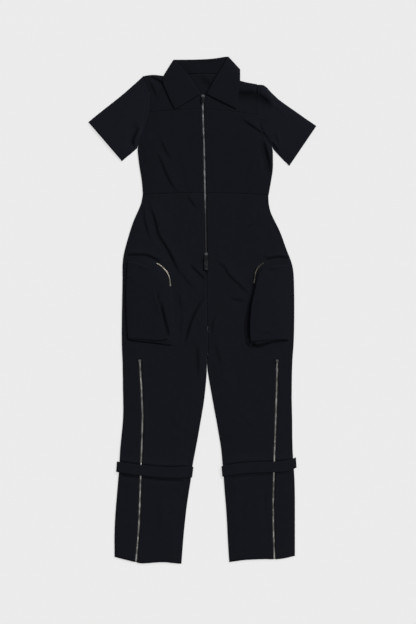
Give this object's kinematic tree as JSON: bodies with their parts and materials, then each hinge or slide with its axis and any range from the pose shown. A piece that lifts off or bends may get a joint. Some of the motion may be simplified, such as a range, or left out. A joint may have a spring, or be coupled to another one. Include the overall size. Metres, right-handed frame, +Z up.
{
  "type": "jumpsuit",
  "caption": "Short-sleeved jumpsuit laid out flat, front up, with a shirt collar, a front zip, bellows pockets, leg zips and loose leg straps.",
  "frame": {"origin": "the middle of the laid-out garment, on the surface that it lies on", "axes": "+X to the wearer's left (the picture's right), +Y from the hems to the collar, +Z up through the front"},
  "size_m": [0.676, 1.5001, 0.017],
  "materials": {
    "cloth": "matt fine twill",
    "strap_cloth": "matt fine twill, doubled",
    "zip_metal": "bright metal teeth",
    "dark_metal": "dark plated metal"
  },
  "bodies": {
    "garment": {"back_bodice": "cloth", "front_bodice_right": "cloth", "front_yoke_right": "cloth", "sleeve_right": "cloth", "front_leg_right": "cloth", "back_leg_right": "cloth", "pocket_gusset_right": "cloth", "pocket_face_right": "cloth", "front_bodice_left": "cloth", "front_yoke_left": "cloth", "sleeve_left": "cloth", "front_leg_left": "cloth", "back_leg_left": "cloth", "pocket_gusset_left": "cloth", "pocket_face_left": "cloth", "collar_fall": "cloth", "collar_stand": "cloth", "leg_strap_right": "strap_cloth", "leg_strap_left": "strap_cloth", "front_zip": "zip_metal", "leg_zip_right": "zip_metal", "pocket_zip_right": "zip_metal", "leg_slider_right": "zip_metal", "leg_zip_left": "zip_metal", "pocket_zip_left": "zip_metal", "leg_slider_left": "zip_metal", "slider_upper": "zip_metal", "slider_bail_upper": "zip_metal", "slider_lower": "zip_metal", "slider_bail_lower": "zip_metal"},
    "upper_tab": {"pull_tab_upper": "dark_metal"},
    "lower_tab": {"pull_tab_lower": "dark_metal"}
  },
  "joints": [
    {"name": "upper_tab_swing", "type": "hinge", "parent": "garment", "child": "upper_tab", "pos_m": [0.0024, 0.63, 0.00925], "axis": [-1, 0, 0], "range_deg": [0, 150]},
    {"name": "lower_tab_swing", "type": "hinge", "parent": "garment", "child": "lower_tab", "pos_m": [0.01166, 0.163, 0.00925], "axis": [-1, 0, 0], "range_deg": [0, 150]}
  ]
}
